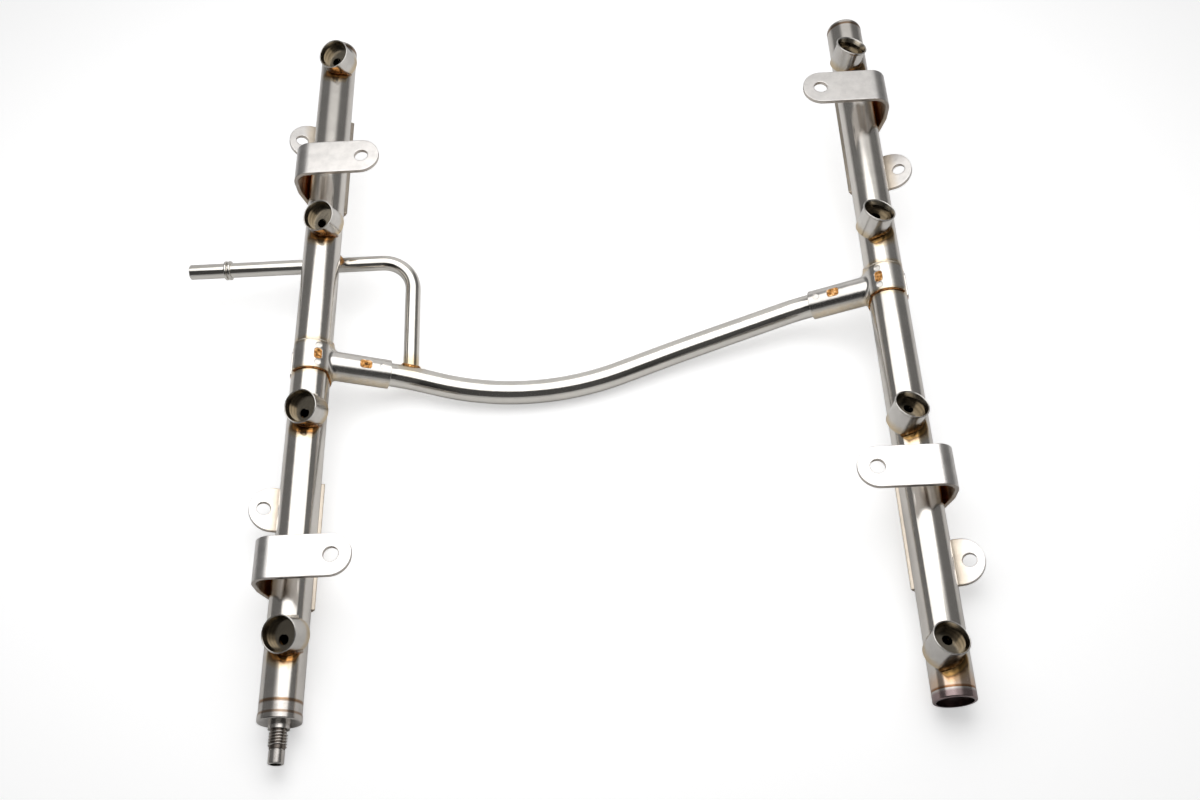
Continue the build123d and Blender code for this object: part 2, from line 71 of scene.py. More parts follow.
# Each rail is the other turned by half a turn about the vertical through this point.
MIDDLE = Vector((
    (LEFT_X + RIGHT_X) / 2,
    (LEFT_TUBE[0].y + RIGHT_TUBE[1].y) / 2,
    (LEFT_TUBE[0].z + LEFT_TUBE[1].z) / 2,
))
MOUNTS = {mount["name"]: mount for mount in frame["record"]["mounts"]}
FIRST_BORE, SECOND_BORE = MOUNTS["left_cup_bore_1"], MOUNTS["left_cup_bore_2"]
CUP_PITCH = SECOND_BORE["pos_m"][1] - FIRST_BORE["pos_m"][1]
# A mount of a cup stands in the middle of its bore, this far below the mouth.
BORE_MIDDLE_DEPTH = 0.0041
# A cup's axis and mouth in its rail's frame: inward, along the rail, up.
CUP_AXIS = Vector(SECOND_BORE["axis"])
CUP_MOUTH = (
    Vector(SECOND_BORE["pos_m"]) + CUP_AXIS * BORE_MIDDLE_DEPTH
    - Vector((LEFT_X, MIDDLE.y, MIDDLE.z))
)
CUP_RADIUS = 0.00794
# Warm tint that brazing the plug left on the end of its tube.
PLUG_GLOW_TINT = (1.0, 0.80, 0.66)
LEFT_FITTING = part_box("left_crossover_fitting")
FITTING_ALONG = (LEFT_FITTING[0].y + LEFT_FITTING[1].y) / 2 - MIDDLE.y
SLEEVE_HALF = 0.00775
LEFT_BOLTS = MOUNTS["left_bolts"]
STRAP_PITCH = LEFT_BOLTS["dims"]["spacing_y_mm"] / 1000
STRAP_FIRST = LEFT_BOLTS["pos_m"][1] - MIDDLE.y - STRAP_PITCH / 2
# Where a bracket's leg meets the tube, across a rail: inward, along, up.
STRAP_SEAM_PLACE = (-0.0103, 0.0, -0.0024)
# Ends of the tubes along a rail: the left tube ends at FAR_END, the right one at PLUG_END.
NEAR_END = LEFT_TUBE[0].y - MIDDLE.y
FAR_END = LEFT_TUBE[1].y - MIDDLE.y
PLUG_END = MIDDLE.y - RIGHT_TUBE[0].y


def rgba(colour, scale=1.0):
    return (colour[0] * scale, colour[1] * scale, colour[2] * scale, 1.0)


# ---------------------------------------------------------------- material building
class Nodes:
    """Short way to write a node tree; values may be numbers or sockets."""

    def __init__(self, tree):
        self.tree = tree
        tree.nodes.clear()

    def add(self, kind, inputs=None, **settings):
        node = self.tree.nodes.new(kind)
        for name, value in settings.items():
            setattr(node, name, value)
        for name, value in (inputs or {}).items():
            self.feed(node.inputs[name], value)
        return node

    def feed(self, socket, value):
        if isinstance(value, bpy.types.NodeSocket):
            self.tree.links.new(value, socket)
        else:
            socket.default_value = value

    def math(self, operation, first, second=0.0, third=0.0):
        node = self.add("ShaderNodeMath", operation=operation)
        for socket, value in zip(node.inputs, (first, second, third)):
            self.feed(socket, value)
        return node.outputs[0]

    def vector(self, operation, first, second=(0.0, 0.0, 0.0), output="Vector"):
        node = self.add("ShaderNodeVectorMath", operation=operation)
        self.feed(node.inputs[0], first)
        self.feed(node.inputs[1], second)
        return node.outputs[output]

    def position(self):
        return self.add("ShaderNodeTexCoord").outputs["Object"]

    def stretched(self, vector, scale):
        node = self.add("ShaderNodeMapping", {"Vector": vector, "Scale": scale})
        return node.outputs["Vector"]

    def noise(self, vector, scale, detail=3.0, roughness=0.5, output="Fac"):
        node = self.add("ShaderNodeTexNoise", {
            "Vector": vector, "Scale": scale, "Detail": detail, "Roughness": roughness,
        })
        return node.outputs[output]

    def ease(self, value, start, end, low=0.0, high=1.0):
        """From low at the start to high at the end; the start may be above the end."""
        node = self.add("ShaderNodeMapRange", interpolation_type="SMOOTHSTEP")
        for name, number in (
            ("Value", value), ("From Min", start), ("From Max", end),
            ("To Min", low), ("To Max", high),
        ):
            self.feed(node.inputs[name], number)
        return node.outputs["Result"]

    def product(self, *values):
        result = values[0]
        for value in values[1:]:
            result = self.math("MULTIPLY", result, value)
        return result

    def highest(self, *values):
        result = values[0]
        for value in values[1:]:
            result = self.math("MAXIMUM", result, value)
        return result

    def mix(self, factor, first, second, blend="MIX"):
        node = self.add("ShaderNodeMix", data_type="RGBA", blend_type=blend)
        self.feed(node.inputs[0], factor)
        self.feed(node.inputs[6], first)
        self.feed(node.inputs[7], second)
        return node.outputs[2]

    def grey(self, value):
        node = self.add("ShaderNodeCombineColor", {"Red": value, "Green": value, "Blue": value})
        return node.outputs[0]

    def ramp(self, factor, stops):
        node = self.add("ShaderNodeValToRGB", {"Fac": factor})
        ramp = node.color_ramp
        while len(ramp.elements) < len(stops):
            ramp.elements.new(0.5)
        for element, (place, colour) in zip(ramp.elements, stops):
            element.position = place
            element.color = rgba(colour)
        return node.outputs["Color"]

    def split(self, vector):
        node = self.add("ShaderNodeSeparateXYZ", {"Vector": vector})
        return node.outputs["X"], node.outputs["Y"], node.outputs["Z"]

    def join(self, x, y, z):
        return self.add("ShaderNodeCombineXYZ", {"X": x, "Y": y, "Z": z}).outputs["Vector"]

    def rail_turn(self):
        """1 on the left rail and -1 on the right one, which is turned by half a turn."""
        x, _, _ = self.split(self.vector("SUBTRACT", self.position(), tuple(MIDDLE)))
        return self.math("MULTIPLY", self.math("SIGN", x), -1.0)

    def rail_place(self):
        """Object coordinates turned into the nearer rail's frame: inward, along, up."""
        x, y, z = self.split(self.vector("SUBTRACT", self.position(), tuple(MIDDLE)))
        turn = self.rail_turn()
        inward = self.math("ADD", self.math("MULTIPLY", x, turn), HALF_SPAN)
        along = self.math("MULTIPLY", y, turn)
        return inward, along, z

    def on_right(self):
        """1 on the right rail and 0 on the left one."""
        return self.ease(self.rail_turn(), 0.5, -0.5)

    def near_side(self, along, start, end):
        """1 on the side of the joint where the brazing metal ran to, 0 on the other side."""
        return self.ease(self.math("MULTIPLY", along, self.rail_turn()), start, end)

    def cup_place(self):
        """Distance from the nearest cup's axis, depth below its mouth, and place along."""
        inward, along, up = self.rail_place()
        start = CUP_MOUTH.y - CUP_PITCH / 2
        step = self.math("FLOORED_MODULO", self.math("SUBTRACT", along, start), CUP_PITCH)
        near = self.join(inward, self.math("ADD", step, start), up)
        gap = self.vector("SUBTRACT", near, tuple(CUP_MOUTH))
        depth = self.vector("DOT_PRODUCT", gap, tuple(-CUP_AXIS), output="Value")
        across = self.vector("CROSS_PRODUCT", gap, tuple(CUP_AXIS))
        beside = self.math("SUBTRACT", step, CUP_PITCH / 2)
        return self.vector("LENGTH", across, output="Value"), depth, beside

    def strap_place(self):
        """Distance along the rail from the middle of the nearer bracket."""
        _, along, _ = self.rail_place()
        start = STRAP_FIRST - STRAP_PITCH / 2
        step = self.math("FLOORED_MODULO", self.math("SUBTRACT", along, start), STRAP_PITCH)
        return self.math("ABSOLUTE", self.math("SUBTRACT", step, STRAP_PITCH / 2))

    def strap_seam(self):
        """1 along the brazed line where a bracket's leg meets the tube."""
        inward, _, up = self.rail_place()
        gap = self.vector("SUBTRACT", self.join(inward, 0.0, up), STRAP_SEAM_PLACE)
        gap = self.shaken(self.vector("LENGTH", gap, output="Value"), 0.002)
        return self.product(
            self.ease(gap, 0.0085, 0.0050), self.ease(self.strap_place(), 0.0135, 0.0120)
        )

    def shaken(self, value, amount, scale=420.0):
        """The value with noise added, to make the edge of a mask uneven."""
        noise = self.noise(self.position(), scale, detail=3.0)
        return self.math("MULTIPLY_ADD", self.math("SUBTRACT", noise, 0.5), amount, value)


def metal(
    name, paint, roughness, grain=(300.0, 300.0, 300.0), grain_depth=0.03, speckle=0.03, edge=0.0
):
    """A metal with grain and fine specks; paint(nodes) gives its colour."""
    material = bpy.data.materials.new(name)
    material.use_nodes = True
    nodes = Nodes(material.node_tree)
    colour = paint(nodes)
    position = nodes.position()
    lines = nodes.noise(nodes.stretched(position, grain), 1.0, detail=4.0, roughness=0.6)
    specks = nodes.noise(position, 2600.0, detail=2.0)
    waves = nodes.noise(position, 90.0, detail=1.0)
    rough = nodes.math("MULTIPLY_ADD", lines, 0.06, roughness - 0.03)
    rough = nodes.math("MULTIPLY_ADD", specks, speckle, rough)
    height = nodes.math("MULTIPLY_ADD", specks, 6.0 * speckle, lines)
    height = nodes.math("MULTIPLY_ADD", waves, 1.5, height)
    bump = nodes.add("ShaderNodeBump", {
        "Height": height, "Strength": grain_depth, "Distance": 0.0004,
    })
    if edge > 0.0:
        worn = nodes.add("ShaderNodeBevel", {"Radius": edge}, samples=6)
        nodes.feed(bump.inputs["Normal"], worn.outputs["Normal"])
    shader = nodes.add("ShaderNodeBsdfPrincipled", {
        "Base Color": colour, "Metallic": 1.0, "Roughness": rough,
        "Normal": bump.outputs["Normal"],
    })
    output = nodes.add("ShaderNodeOutputMaterial")
    material.node_tree.links.new(shader.outputs[0], output.inputs["Surface"])
    return material


def clouded(nodes, colour, depth=0.12, scale=60.0):
    """The colour with faint darker clouds."""
    clouds = nodes.noise(nodes.position(), scale, detail=5.0, roughness=0.62)
    shade = nodes.ease(clouds, 0.25, 0.7, 1.0 - depth, 1.0)
    return nodes.mix(1.0, rgba(colour), nodes.grey(shade), blend="MULTIPLY")


def stained(nodes, base, mask, colour, strength=1.0):
    """The base multiplied by a heat tint where the mask is 1."""
    return nodes.mix(nodes.math("MULTIPLY", mask, strength), base, nodes.mix(
        1.0, base, rgba(colour), blend="MULTIPLY"
    ))


def covered(nodes, base, mask, colour):
    """The base covered by brazing metal where the mask is 1."""
    return nodes.mix(mask, base, rgba(colour))


def give(names, material):
    """Puts the material on every slot of the nodes, and stops if one can't take it."""
    for name in names:
        if name not in NODES or not NODES[name].material_slots:
            raise RuntimeError(f"node {name} is missing or has no material slot")
        for slot in NODES[name].material_slots:
            slot.material = material


# ---------------------------------------------------------------- settings
class RailSizes(bpy.types.PropertyGroup):
    """Sizes of what is added to the frame."""

    thread_root: bpy.props.FloatProperty(
        name="Thread root", description="Radius of the service port's stem",
        default=0.0035, min=0.001, unit="LENGTH",
    )
    thread_crest: bpy.props.FloatProperty(
        name="Thread crest", description="Radius of the service port's thread",
        default=0.0041, min=0.001, unit="LENGTH",
    )
    thread_pitch: bpy.props.FloatProperty(
        name="Thread pitch", description="Pitch of the service port's thread",
        default=0.00127, min=0.0003, unit="LENGTH",
    )
    thread_length: bpy.props.FloatProperty(
        name="Thread length", description="Length of the service port's thread",
        default=0.0076, min=0.001, unit="LENGTH",
    )
    floor_slope: bpy.props.FloatProperty(
        name="Floor slope", description="Rise of the floor toward the near ends of the rails",
        default=0.115, min=0.0,
    )


def colour_property(name, description, default):
    return bpy.props.FloatVectorProperty(
        name=name, description=description, subtype="COLOR", default=default, min=0.0, max=1.0
    )


class RailColours(bpy.types.PropertyGroup):
    """Colours of the finishes."""

    tube: colour_property("Tube", "Drawn stainless tube", (0.76, 0.72, 0.67))
    pipe: colour_property("Pipe", "Small drawn stainless tube", (0.74, 0.71, 0.66))
    cup: colour_property("Cup", "Turned stainless cup", (0.72, 0.69, 0.65))
    # Painted shade inside a cup's bore: a darker, warm grey.
    cup_inside_shade: colour_property("Cup inside", "Heat tint in a cup", (0.58, 0.53, 0.44))
    bracket: colour_property("Bracket", "Stamped stainless sheet", (0.82, 0.79, 0.76))
    fitting: colour_property("Fitting", "Formed stainless fitting", (0.74, 0.71, 0.67))
    end: colour_property("Ends", "Turned end pieces", (0.70, 0.66, 0.62))
    braze: colour_property("Brazing metal", "Copper brazing metal", (0.58, 0.27, 0.08))
    straw: colour_property("Straw tint", "Light heat tint", (0.93, 0.80, 0.60))
    brown: colour_property("Brown tint", "Heavy heat tint", (0.46, 0.31, 0.20))
    violet: colour_property("Violet tint", "Dark heat tint at the ends", (0.52, 0.42, 0.44))


# ---------------------------------------------------------------- finishes
def cup_spread(nodes):
    """Distance from a cup's foot in widths of its copper, which is wider where it ran."""
    cup_distance, depth, beside = nodes.cup_place()
    gap = nodes.shaken(nodes.math("SUBTRACT", cup_distance, CUP_RADIUS), 0.0016)
    gap = nodes.math("ADD", gap, nodes.ease(depth, 0.0125, 0.0160, 0.0, 0.01))
    inward, _, _ = nodes.rail_place()
    ran = nodes.product(
        nodes.near_side(beside, -0.0015, -0.0075),
        nodes.ease(nodes.math("ABSOLUTE", inward), 0.0085, 0.0060),
    )
    return nodes.math("DIVIDE", gap, nodes.math("MULTIPLY_ADD", ran, 0.0032, 0.0007))


def tinted_joints(nodes, base, colours):
    """Heat tint on a tube at its sleeve, its brackets and its ends."""
    _, along, _ = nodes.rail_place()
    sleeve = nodes.math("ABSOLUTE", nodes.math("SUBTRACT", along, FITTING_ALONG))
    sleeve = nodes.shaken(nodes.math("SUBTRACT", sleeve, SLEEVE_HALF), 0.003)
    base = stained(nodes, base, nodes.ease(sleeve, 0.004, 0.001), colours.straw)
    base = stained(nodes, base, nodes.strap_seam(), colours.brown)
    far_end = nodes.math(
        "MULTIPLY_ADD", nodes.rail_turn(), (FAR_END - PLUG_END) / 2, (FAR_END + PLUG_END) / 2
    )
    beyond = nodes.math("SUBTRACT", along, far_end)
    ends = nodes.highest(
        nodes.ease(along, NEAR_END + 0.0014, NEAR_END + 0.0004),
        nodes.ease(beyond, -0.0014, -0.0005),
    )
    base = stained(nodes, base, ends, colours.brown)
    heated = nodes.product(
        nodes.on_right(), nodes.ease(nodes.shaken(beyond, 0.003), -0.0095, -0.0020)
    )
    return stained(nodes, base, heated, PLUG_GLOW_TINT)


def cup_copper(nodes, base, spread, colours):
    """Copper round a cup's foot: a bright rim, a dark core, and painted shade that darkens it on the right
    rail.
    """
    base = covered(nodes, base, nodes.ease(spread, 0.95, 0.75), colours.braze)
    core = rgba(colours.braze, 0.42)[:3]
    base = covered(nodes, base, nodes.ease(spread, 0.70, 0.45), core)
    # Painted shade: the copper on the right rail is darkened and cooled, though both rails are alike.
    right_rail_shade = nodes.product(nodes.on_right(), nodes.ease(spread, 1.1, 0.9))
    return stained(nodes, base, right_rail_shade, (0.55, 0.68, 0.80))


class FUELRAIL_OT_tubes(bpy.types.Operator):
    """Finish the two rail tubes: drawn steel with copper and heat tint at the brazed joints"""

    bl_idname = "fuelrail.tubes"
    bl_label = "Rail tubes"

    def execute(self, context):
        colours = context.scene.rail_colours

        def paint(nodes):
            base = clouded(nodes, colours.tube)
            spread = cup_spread(nodes)
            base = stained(nodes, base, nodes.ease(spread, 2.0, 1.2), colours.straw)
            base = stained(nodes, base, nodes.ease(spread, 1.4, 0.9), colours.brown)
            base = tinted_joints(nodes, base, colours)
            return cup_copper(nodes, base, spread, colours)

        give(named("rail_tube"), metal(
            "rail_tube_steel", paint, 0.16, (1500.0, 14.0, 1500.0)
        ))
        return {"FINISHED"}


class FUELRAIL_OT_pipes(bpy.types.Operator):
    """Finish the crossover tube and the feed pipe"""

    bl_idname = "fuelrail.pipes"
    bl_label = "Crossover tube and feed pipe"

    def execute(self, context):
        colours = context.scene.rail_colours
        low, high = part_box("feed_joint_braze")
        joint = (low + high) / 2

        def paint(nodes):
            base = clouded(nodes, colours.pipe)
            gap = nodes.vector("DISTANCE", nodes.position(), tuple(joint), output="Value")
            near = nodes.ease(nodes.shaken(gap, 0.003), 0.011, 0.005)
            return stained(nodes, base, near, colours.straw)

        give(["crossover_tube", "feed_pipe"], metal(
            "pipe_steel", paint, 0.12, (60.0, 900.0, 900.0)
        ))
        return {"FINISHED"}


class FUELRAIL_OT_cups(bpy.types.Operator):
    """Finish the injector cups: bright outside and lip, painted shade inside with painted light and dark
    rings
    """

    bl_idname = "fuelrail.cups"
    bl_label = "Injector cups"

    def execute(self, context):
        colours = context.scene.rail_colours

        def paint(nodes):
            base = clouded(nodes, colours.cup, depth=0.15, scale=140.0)
            distance, depth, _ = nodes.cup_place()
            inside = nodes.product(
                nodes.ease(distance, 0.00785, 0.0076), nodes.ease(depth, 0.0002, 0.0009)
            )
            # Painted light and dark rings by depth stand in for highlight arcs on the bore's turned steps.
            rings = nodes.ease(nodes.math("PINGPONG", depth, 0.0011), 0.0002, 0.0009, 0.55, 1.0)
            foot = nodes.ease(nodes.shaken(depth, 0.003), 0.0085, 0.0125)
            base = stained(nodes, base, foot, colours.straw)
            base = nodes.mix(nodes.math("MULTIPLY", inside, 0.8), base, nodes.mix(
                1.0, base, nodes.grey(rings), blend="MULTIPLY"
            ))
            # Painted shade darkens the whole bore.
            return stained(nodes, base, inside, colours.cup_inside_shade)

        cups = [name for name in named("_cup_") if "braze" not in name]
        give(cups, metal("cup_steel", paint, 0.17, (400.0, 400.0, 2500.0), speckle=0.06))
        return {"FINISHED"}


class FUELRAIL_OT_brackets(bpy.types.Operator):
    """Finish the stamped brackets: pale, mottled sheet, tan where it was brazed to the tube"""

    bl_idname = "fuelrail.brackets"
    bl_label = "Brackets"

    def execute(self, context):
        colours = context.scene.rail_colours

        def paint(nodes):
            base = clouded(nodes, colours.bracket, depth=0.16, scale=180.0)
            inward, _, up = nodes.rail_place()
            gap = nodes.vector("LENGTH", nodes.join(inward, 0.0, up), output="Value")
            near = nodes.ease(nodes.shaken(gap, 0.002), 0.0185, 0.0140)
            base = stained(nodes, base, near, (0.90, 0.80, 0.66), 0.8)
            geometry = nodes.add("ShaderNodeNewGeometry")
            facing, sideways, upward = nodes.split(geometry.outputs["True Normal"])
            facing = nodes.math("MULTIPLY", facing, nodes.rail_turn())
            seam = nodes.product(nodes.strap_seam(), nodes.ease(facing, 0.1, 0.4))
            # Painted light: the copper seam on the leg's inner face is painted 1.35 times brighter than the
            # brazing metal, as that face lies in shade.
            base = covered(nodes, base, seam, rgba(colours.braze, 1.35)[:3])
            # Painted shade: the sheet's cut edges and the plate's sides, found by which way they face, are
            # darkened.
            flat = nodes.ease(nodes.math("ABSOLUTE", upward), 0.2, 0.4)
            level = nodes.product(flat, nodes.ease(up, 0.0195, 0.021))
            edge = nodes.ease(nodes.math("ABSOLUTE", sideways), 0.5, 0.8)
            in_plate = nodes.ease(up, 0.0195, 0.021)
            edge_shade = nodes.highest(edge, nodes.math("SUBTRACT", in_plate, level))
            return stained(nodes, base, edge_shade, (0.72, 0.68, 0.64))

        give(named("bracket"), metal(
            "bracket_steel", paint, 0.25, (700.0, 700.0, 700.0), grain_depth=0.08, speckle=0.10, edge=0.0007
        ))
        return {"FINISHED"}


class FUELRAIL_OT_fittings(bpy.types.Operator):
    """Finish the crossover fittings"""

    bl_idname = "fuelrail.fittings"
    bl_label = "Crossover fittings"

    def execute(self, context):
        colours = context.scene.rail_colours

        def paint(nodes):
            base = clouded(nodes, colours.fitting, depth=0.14, scale=120.0)
            _, along, _ = nodes.rail_place()
            gap = nodes.math("ABSOLUTE", nodes.math("SUBTRACT", along, FITTING_ALONG))
            edge = nodes.ease(nodes.shaken(gap, 0.002), 0.0055, 0.0082)
            return stained(nodes, base, edge, colours.straw)

        give(named("crossover_fitting"), metal(
            "fitting_steel", paint, 0.18, speckle=0.06, edge=0.0004
        ))
        return {"FINISHED"}


class FUELRAIL_OT_ends(bpy.types.Operator):
    """Finish the caps, the plug and the service port"""

    bl_idname = "fuelrail.ends"
    bl_label = "End pieces"

    def execute(self, context):
        colours = context.scene.rail_colours
        sizes = context.scene.rail_sizes

        def paint(nodes):
            base = clouded(nodes, colours.end, depth=0.2, scale=200.0)
            inward, along, up = nodes.rail_place()
            around = nodes.vector("LENGTH", nodes.join(inward, 0.0, up), output="Value")
            at_plug = nodes.product(
                nodes.on_right(), nodes.ease(along, PLUG_END, PLUG_END + 0.0016)
            )
            base = stained(nodes, base, at_plug, colours.violet)
            # Painted shade: the inside of the plug's recess is darkened.
            recess_shade = nodes.product(at_plug, nodes.ease(around, 0.0081, 0.0079))
            base = stained(nodes, base, recess_shade, (0.22, 0.16, 0.14))
            seams = nodes.highest(
                nodes.product(
                    nodes.ease(along, NEAR_END - 0.0010, NEAR_END - 0.0003),
                    nodes.ease(along, NEAR_END + 0.002, NEAR_END + 0.001),
                ),
                nodes.product(
                    nodes.ease(along, NEAR_END - 0.0040, NEAR_END - 0.0046),
                    nodes.ease(along, NEAR_END - 0.0058, NEAR_END - 0.0052),
                ),
                nodes.product(
                    nodes.ease(along, FAR_END + 0.0014, FAR_END + 0.0004),
                    nodes.ease(along, FAR_END - 0.002, FAR_END - 0.001),
                ),
            )
            base = stained(nodes, base, seams, colours.brown, 0.8)
            low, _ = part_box("left_service_port")
            place = nodes.math("SUBTRACT", along, low.y - MIDDLE.y)
            # Painted shade: the stem and the thread's flanks are darkened toward the root, between the
            # ridges.
            root = nodes.product(
                nodes.ease(place, 0.0060, 0.0064), nodes.ease(place, 0.0150, 0.0146),
                nodes.ease(around, sizes.thread_crest - 0.0001, sizes.thread_root),
            )
            return stained(nodes, base, root, (0.30, 0.27, 0.25))

        give(named("end_cap", "end_plug", "service_port"), metal(
            "end_steel", paint, 0.18, (60.0, 2200.0, 60.0), speckle=0.05
        ))
        return {"FINISHED"}


class FUELRAIL_OT_braze(bpy.types.Operator):
    """Finish the brazing metal"""

    bl_idname = "fuelrail.braze"
    bl_label = "Brazing metal"

    def execute(self, context):
        colours = context.scene.rail_colours

        def paint(nodes):
            patches = nodes.noise(nodes.position(), 620.0, detail=5.0, roughness=0.7)
            copper = nodes.ramp(patches, (
                (0.38, (0.07, 0.032, 0.014)),
                (0.46, rgba(colours.braze, 0.60)[:3]),
                (0.55, rgba(colours.braze, 1.15)[:3]),
                (0.66, (0.95, 0.72, 0.42)),
            ))
            steel = clouded(nodes, colours.tube, depth=0.3, scale=400.0)
            steel = stained(nodes, steel, 1.0, colours.straw, 0.35)
            _, along, _ = nodes.rail_place()
            distance, depth, beside = nodes.cup_place()
            at_cup = nodes.product(
                nodes.ease(distance, 0.0125, 0.0115), nodes.ease(depth, 0.0, 0.002)
            )
            sleeve = nodes.math("SUBTRACT", along, FITTING_ALONG)
            at_sleeve = nodes.product(
                nodes.ease(nodes.math("ABSOLUTE", sleeve), 0.0105, 0.0095),
                nodes.ease(nodes.math("ABSOLUTE", sleeve), 0.0064, 0.0070),
            )
            far = nodes.highest(
                nodes.product(at_cup, nodes.near_side(beside, -0.0060, -0.0030)),
                nodes.product(at_sleeve, nodes.near_side(sleeve, -0.0020, 0.0020)),
            )
            near = nodes.near_side(sleeve, 0.0020, -0.0020)
            copper = stained(nodes, copper, at_cup, (0.55, 0.45, 0.38))
            # Painted shade: the cup copper on the right rail is darkened and cooled, though both rails are
            # alike.
            right_rail_shade = nodes.product(at_cup, nodes.on_right())
            copper = stained(nodes, copper, right_rail_shade, (0.60, 0.72, 0.80))
            copper = stained(nodes, copper, nodes.product(at_sleeve, near), (0.60, 0.50, 0.44))
            bare = nodes.product(far, nodes.ease(patches, 0.70, 0.60))
            return nodes.mix(bare, copper, steel)

        give(named("braze", "tack"), metal(
            "brazing_metal", paint, 0.20, (900.0, 900.0, 900.0), grain_depth=0.60, speckle=0.14
        ))
        return {"FINISHED"}


# Lengths at the port's outer end, before its thread starts.
PORT_TIP = 0.0056
PORT_GROOVE = 0.0007
THREAD_MARGIN = 0.0004
# The ridge of the thread: half widths as shares of its pitch, and how far it sinks in.
STEPS_PER_TURN = 40
RIDGE_FOOT_SHARE = 0.42
RIDGE_TOP_SHARE = 0.08
RIDGE_SINK = 0.0002


class FUELRAIL_OT_thread(bpy.types.Operator):
    """Wind the ridge of the service port's thread"""

    bl_idname = "fuelrail.thread"
    bl_label = "Port thread"

    def execute(self, context):
        sizes = context.scene.rail_sizes
        low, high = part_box("left_service_port")
        axis = Vector(((low.x + high.x) / 2, 0.0, (low.z + high.z) / 2))
        start = low.y + PORT_TIP + PORT_GROOVE + THREAD_MARGIN
        turns = (sizes.thread_length - sizes.thread_pitch) / sizes.thread_pitch
        steps = round(turns * STEPS_PER_TURN)
        builder = bmesh.new()
        half = sizes.thread_pitch * RIDGE_FOOT_SHARE
        flat = sizes.thread_pitch * RIDGE_TOP_SHARE
        sunk = sizes.thread_root - RIDGE_SINK
        profile = (
            (sunk, -half), (sizes.thread_crest, -flat), (sizes.thread_crest, flat), (sunk, half)
        )
        ring = [
            builder.verts.new((axis.x + radius, start + half + place, axis.z))
            for radius, place in profile
        ]
        face = builder.faces.new(ring)
        bmesh.ops.spin(
            builder, geom=ring + list(face.edges) + [face], cent=axis, axis=(0.0, 1.0, 0.0),
            dvec=(0.0, sizes.thread_pitch / STEPS_PER_TURN, 0.0),
            angle=2 * math.pi * steps / STEPS_PER_TURN, steps=steps,
        )
        bmesh.ops.remove_doubles(builder, verts=builder.verts, dist=1e-7)
        loose = [edge for edge in builder.edges if len(edge.link_faces) == 1]
        if loose:
            bmesh.ops.holes_fill(builder, edges=loose, sides=8)
        bmesh.ops.recalc_face_normals(builder, faces=builder.faces)
        mesh = bpy.data.meshes.new("port_thread")
        builder.to_mesh(mesh)
        builder.free()
        piece = link(bpy.data.objects.new("port_thread", mesh))
        for polygon in mesh.polygons:
            polygon.use_smooth = False
        mesh.materials.append(NODES["left_service_port"].material_slots[0].material)
        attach(piece, BODY)
        return {"FINISHED"}


# ---------------------------------------------------------------- stage
WHITE = (1.0, 1.0, 1.0, 1.0)
FLOOR_SIZE = 6.0
FLOOR_COLOUR = (0.85, 0.85, 0.85, 1.0)
FLOOR_GLOW = 0.50
# Place of the lowest point of the crossover tube, where the object touches the floor.
TOUCH = Vector((0.0, MIDDLE.y - 0.0333, 0.0))
PANEL_SIZE = (0.66, 0.47)
PANEL_PLACE = Vector((-0.025, 0.103, 0.30))
PANEL_TURN = math.radians(-5.0)
PANEL_RADIANCE = 1.5


class FUELRAIL_OT_stage(bpy.types.Operator):
    """Lay the floor and set the lights and the camera"""

    bl_idname = "fuelrail.stage"
    bl_label = "Stage"

    def execute(self, context):
        make_floor(context.scene.rail_sizes.floor_slope)
        make_world(context.scene)
        make_panel()
        make_camera(context.scene)
        context.scene.view_settings.view_transform = "Standard"
        return {"FINISHED"}


def link(thing):
    bpy.context.scene.collection.objects.link(thing)
    return thing


def seen_and_lit(nodes, lit, seen):
    """The first shader for light on the object, the second for what the camera sees."""
    camera_ray = nodes.add("ShaderNodeLightPath").outputs["Is Camera Ray"]
    mixed = nodes.add("ShaderNodeMixShader")
    for socket, value in zip(mixed.inputs, (camera_ray, lit, seen)):
        nodes.feed(socket, value)
    return mixed.outputs[0]


def make_floor(slope):
    mesh = bpy.data.meshes.new("floor")
    builder = bmesh.new()
    bmesh.ops.create_grid(builder, x_segments=1, y_segments=1, size=FLOOR_SIZE / 2)
    tilt = Matrix.Translation(TOUCH) @ Matrix.Rotation(-math.atan(slope), 4, "X")
    bmesh.ops.transform(builder, matrix=tilt, verts=builder.verts)
    builder.to_mesh(mesh)
    builder.free()
    floor = link(bpy.data.objects.new("floor", mesh))
    material = bpy.data.materials.new("floor")
    material.use_nodes = True
    nodes = Nodes(material.node_tree)
    diffuse = nodes.add("ShaderNodeBsdfDiffuse", {"Color": FLOOR_COLOUR})
    glow = nodes.add("ShaderNodeEmission", {"Color": WHITE, "Strength": FLOOR_GLOW})
    both = nodes.add("ShaderNodeAddShader")
    nodes.feed(both.inputs[0], diffuse.outputs[0])
    nodes.feed(both.inputs[1], glow.outputs[0])
    surface = seen_and_lit(nodes, diffuse.outputs[0], both.outputs[0])
    nodes.add("ShaderNodeOutputMaterial", {"Surface": surface})
    mesh.materials.append(material)


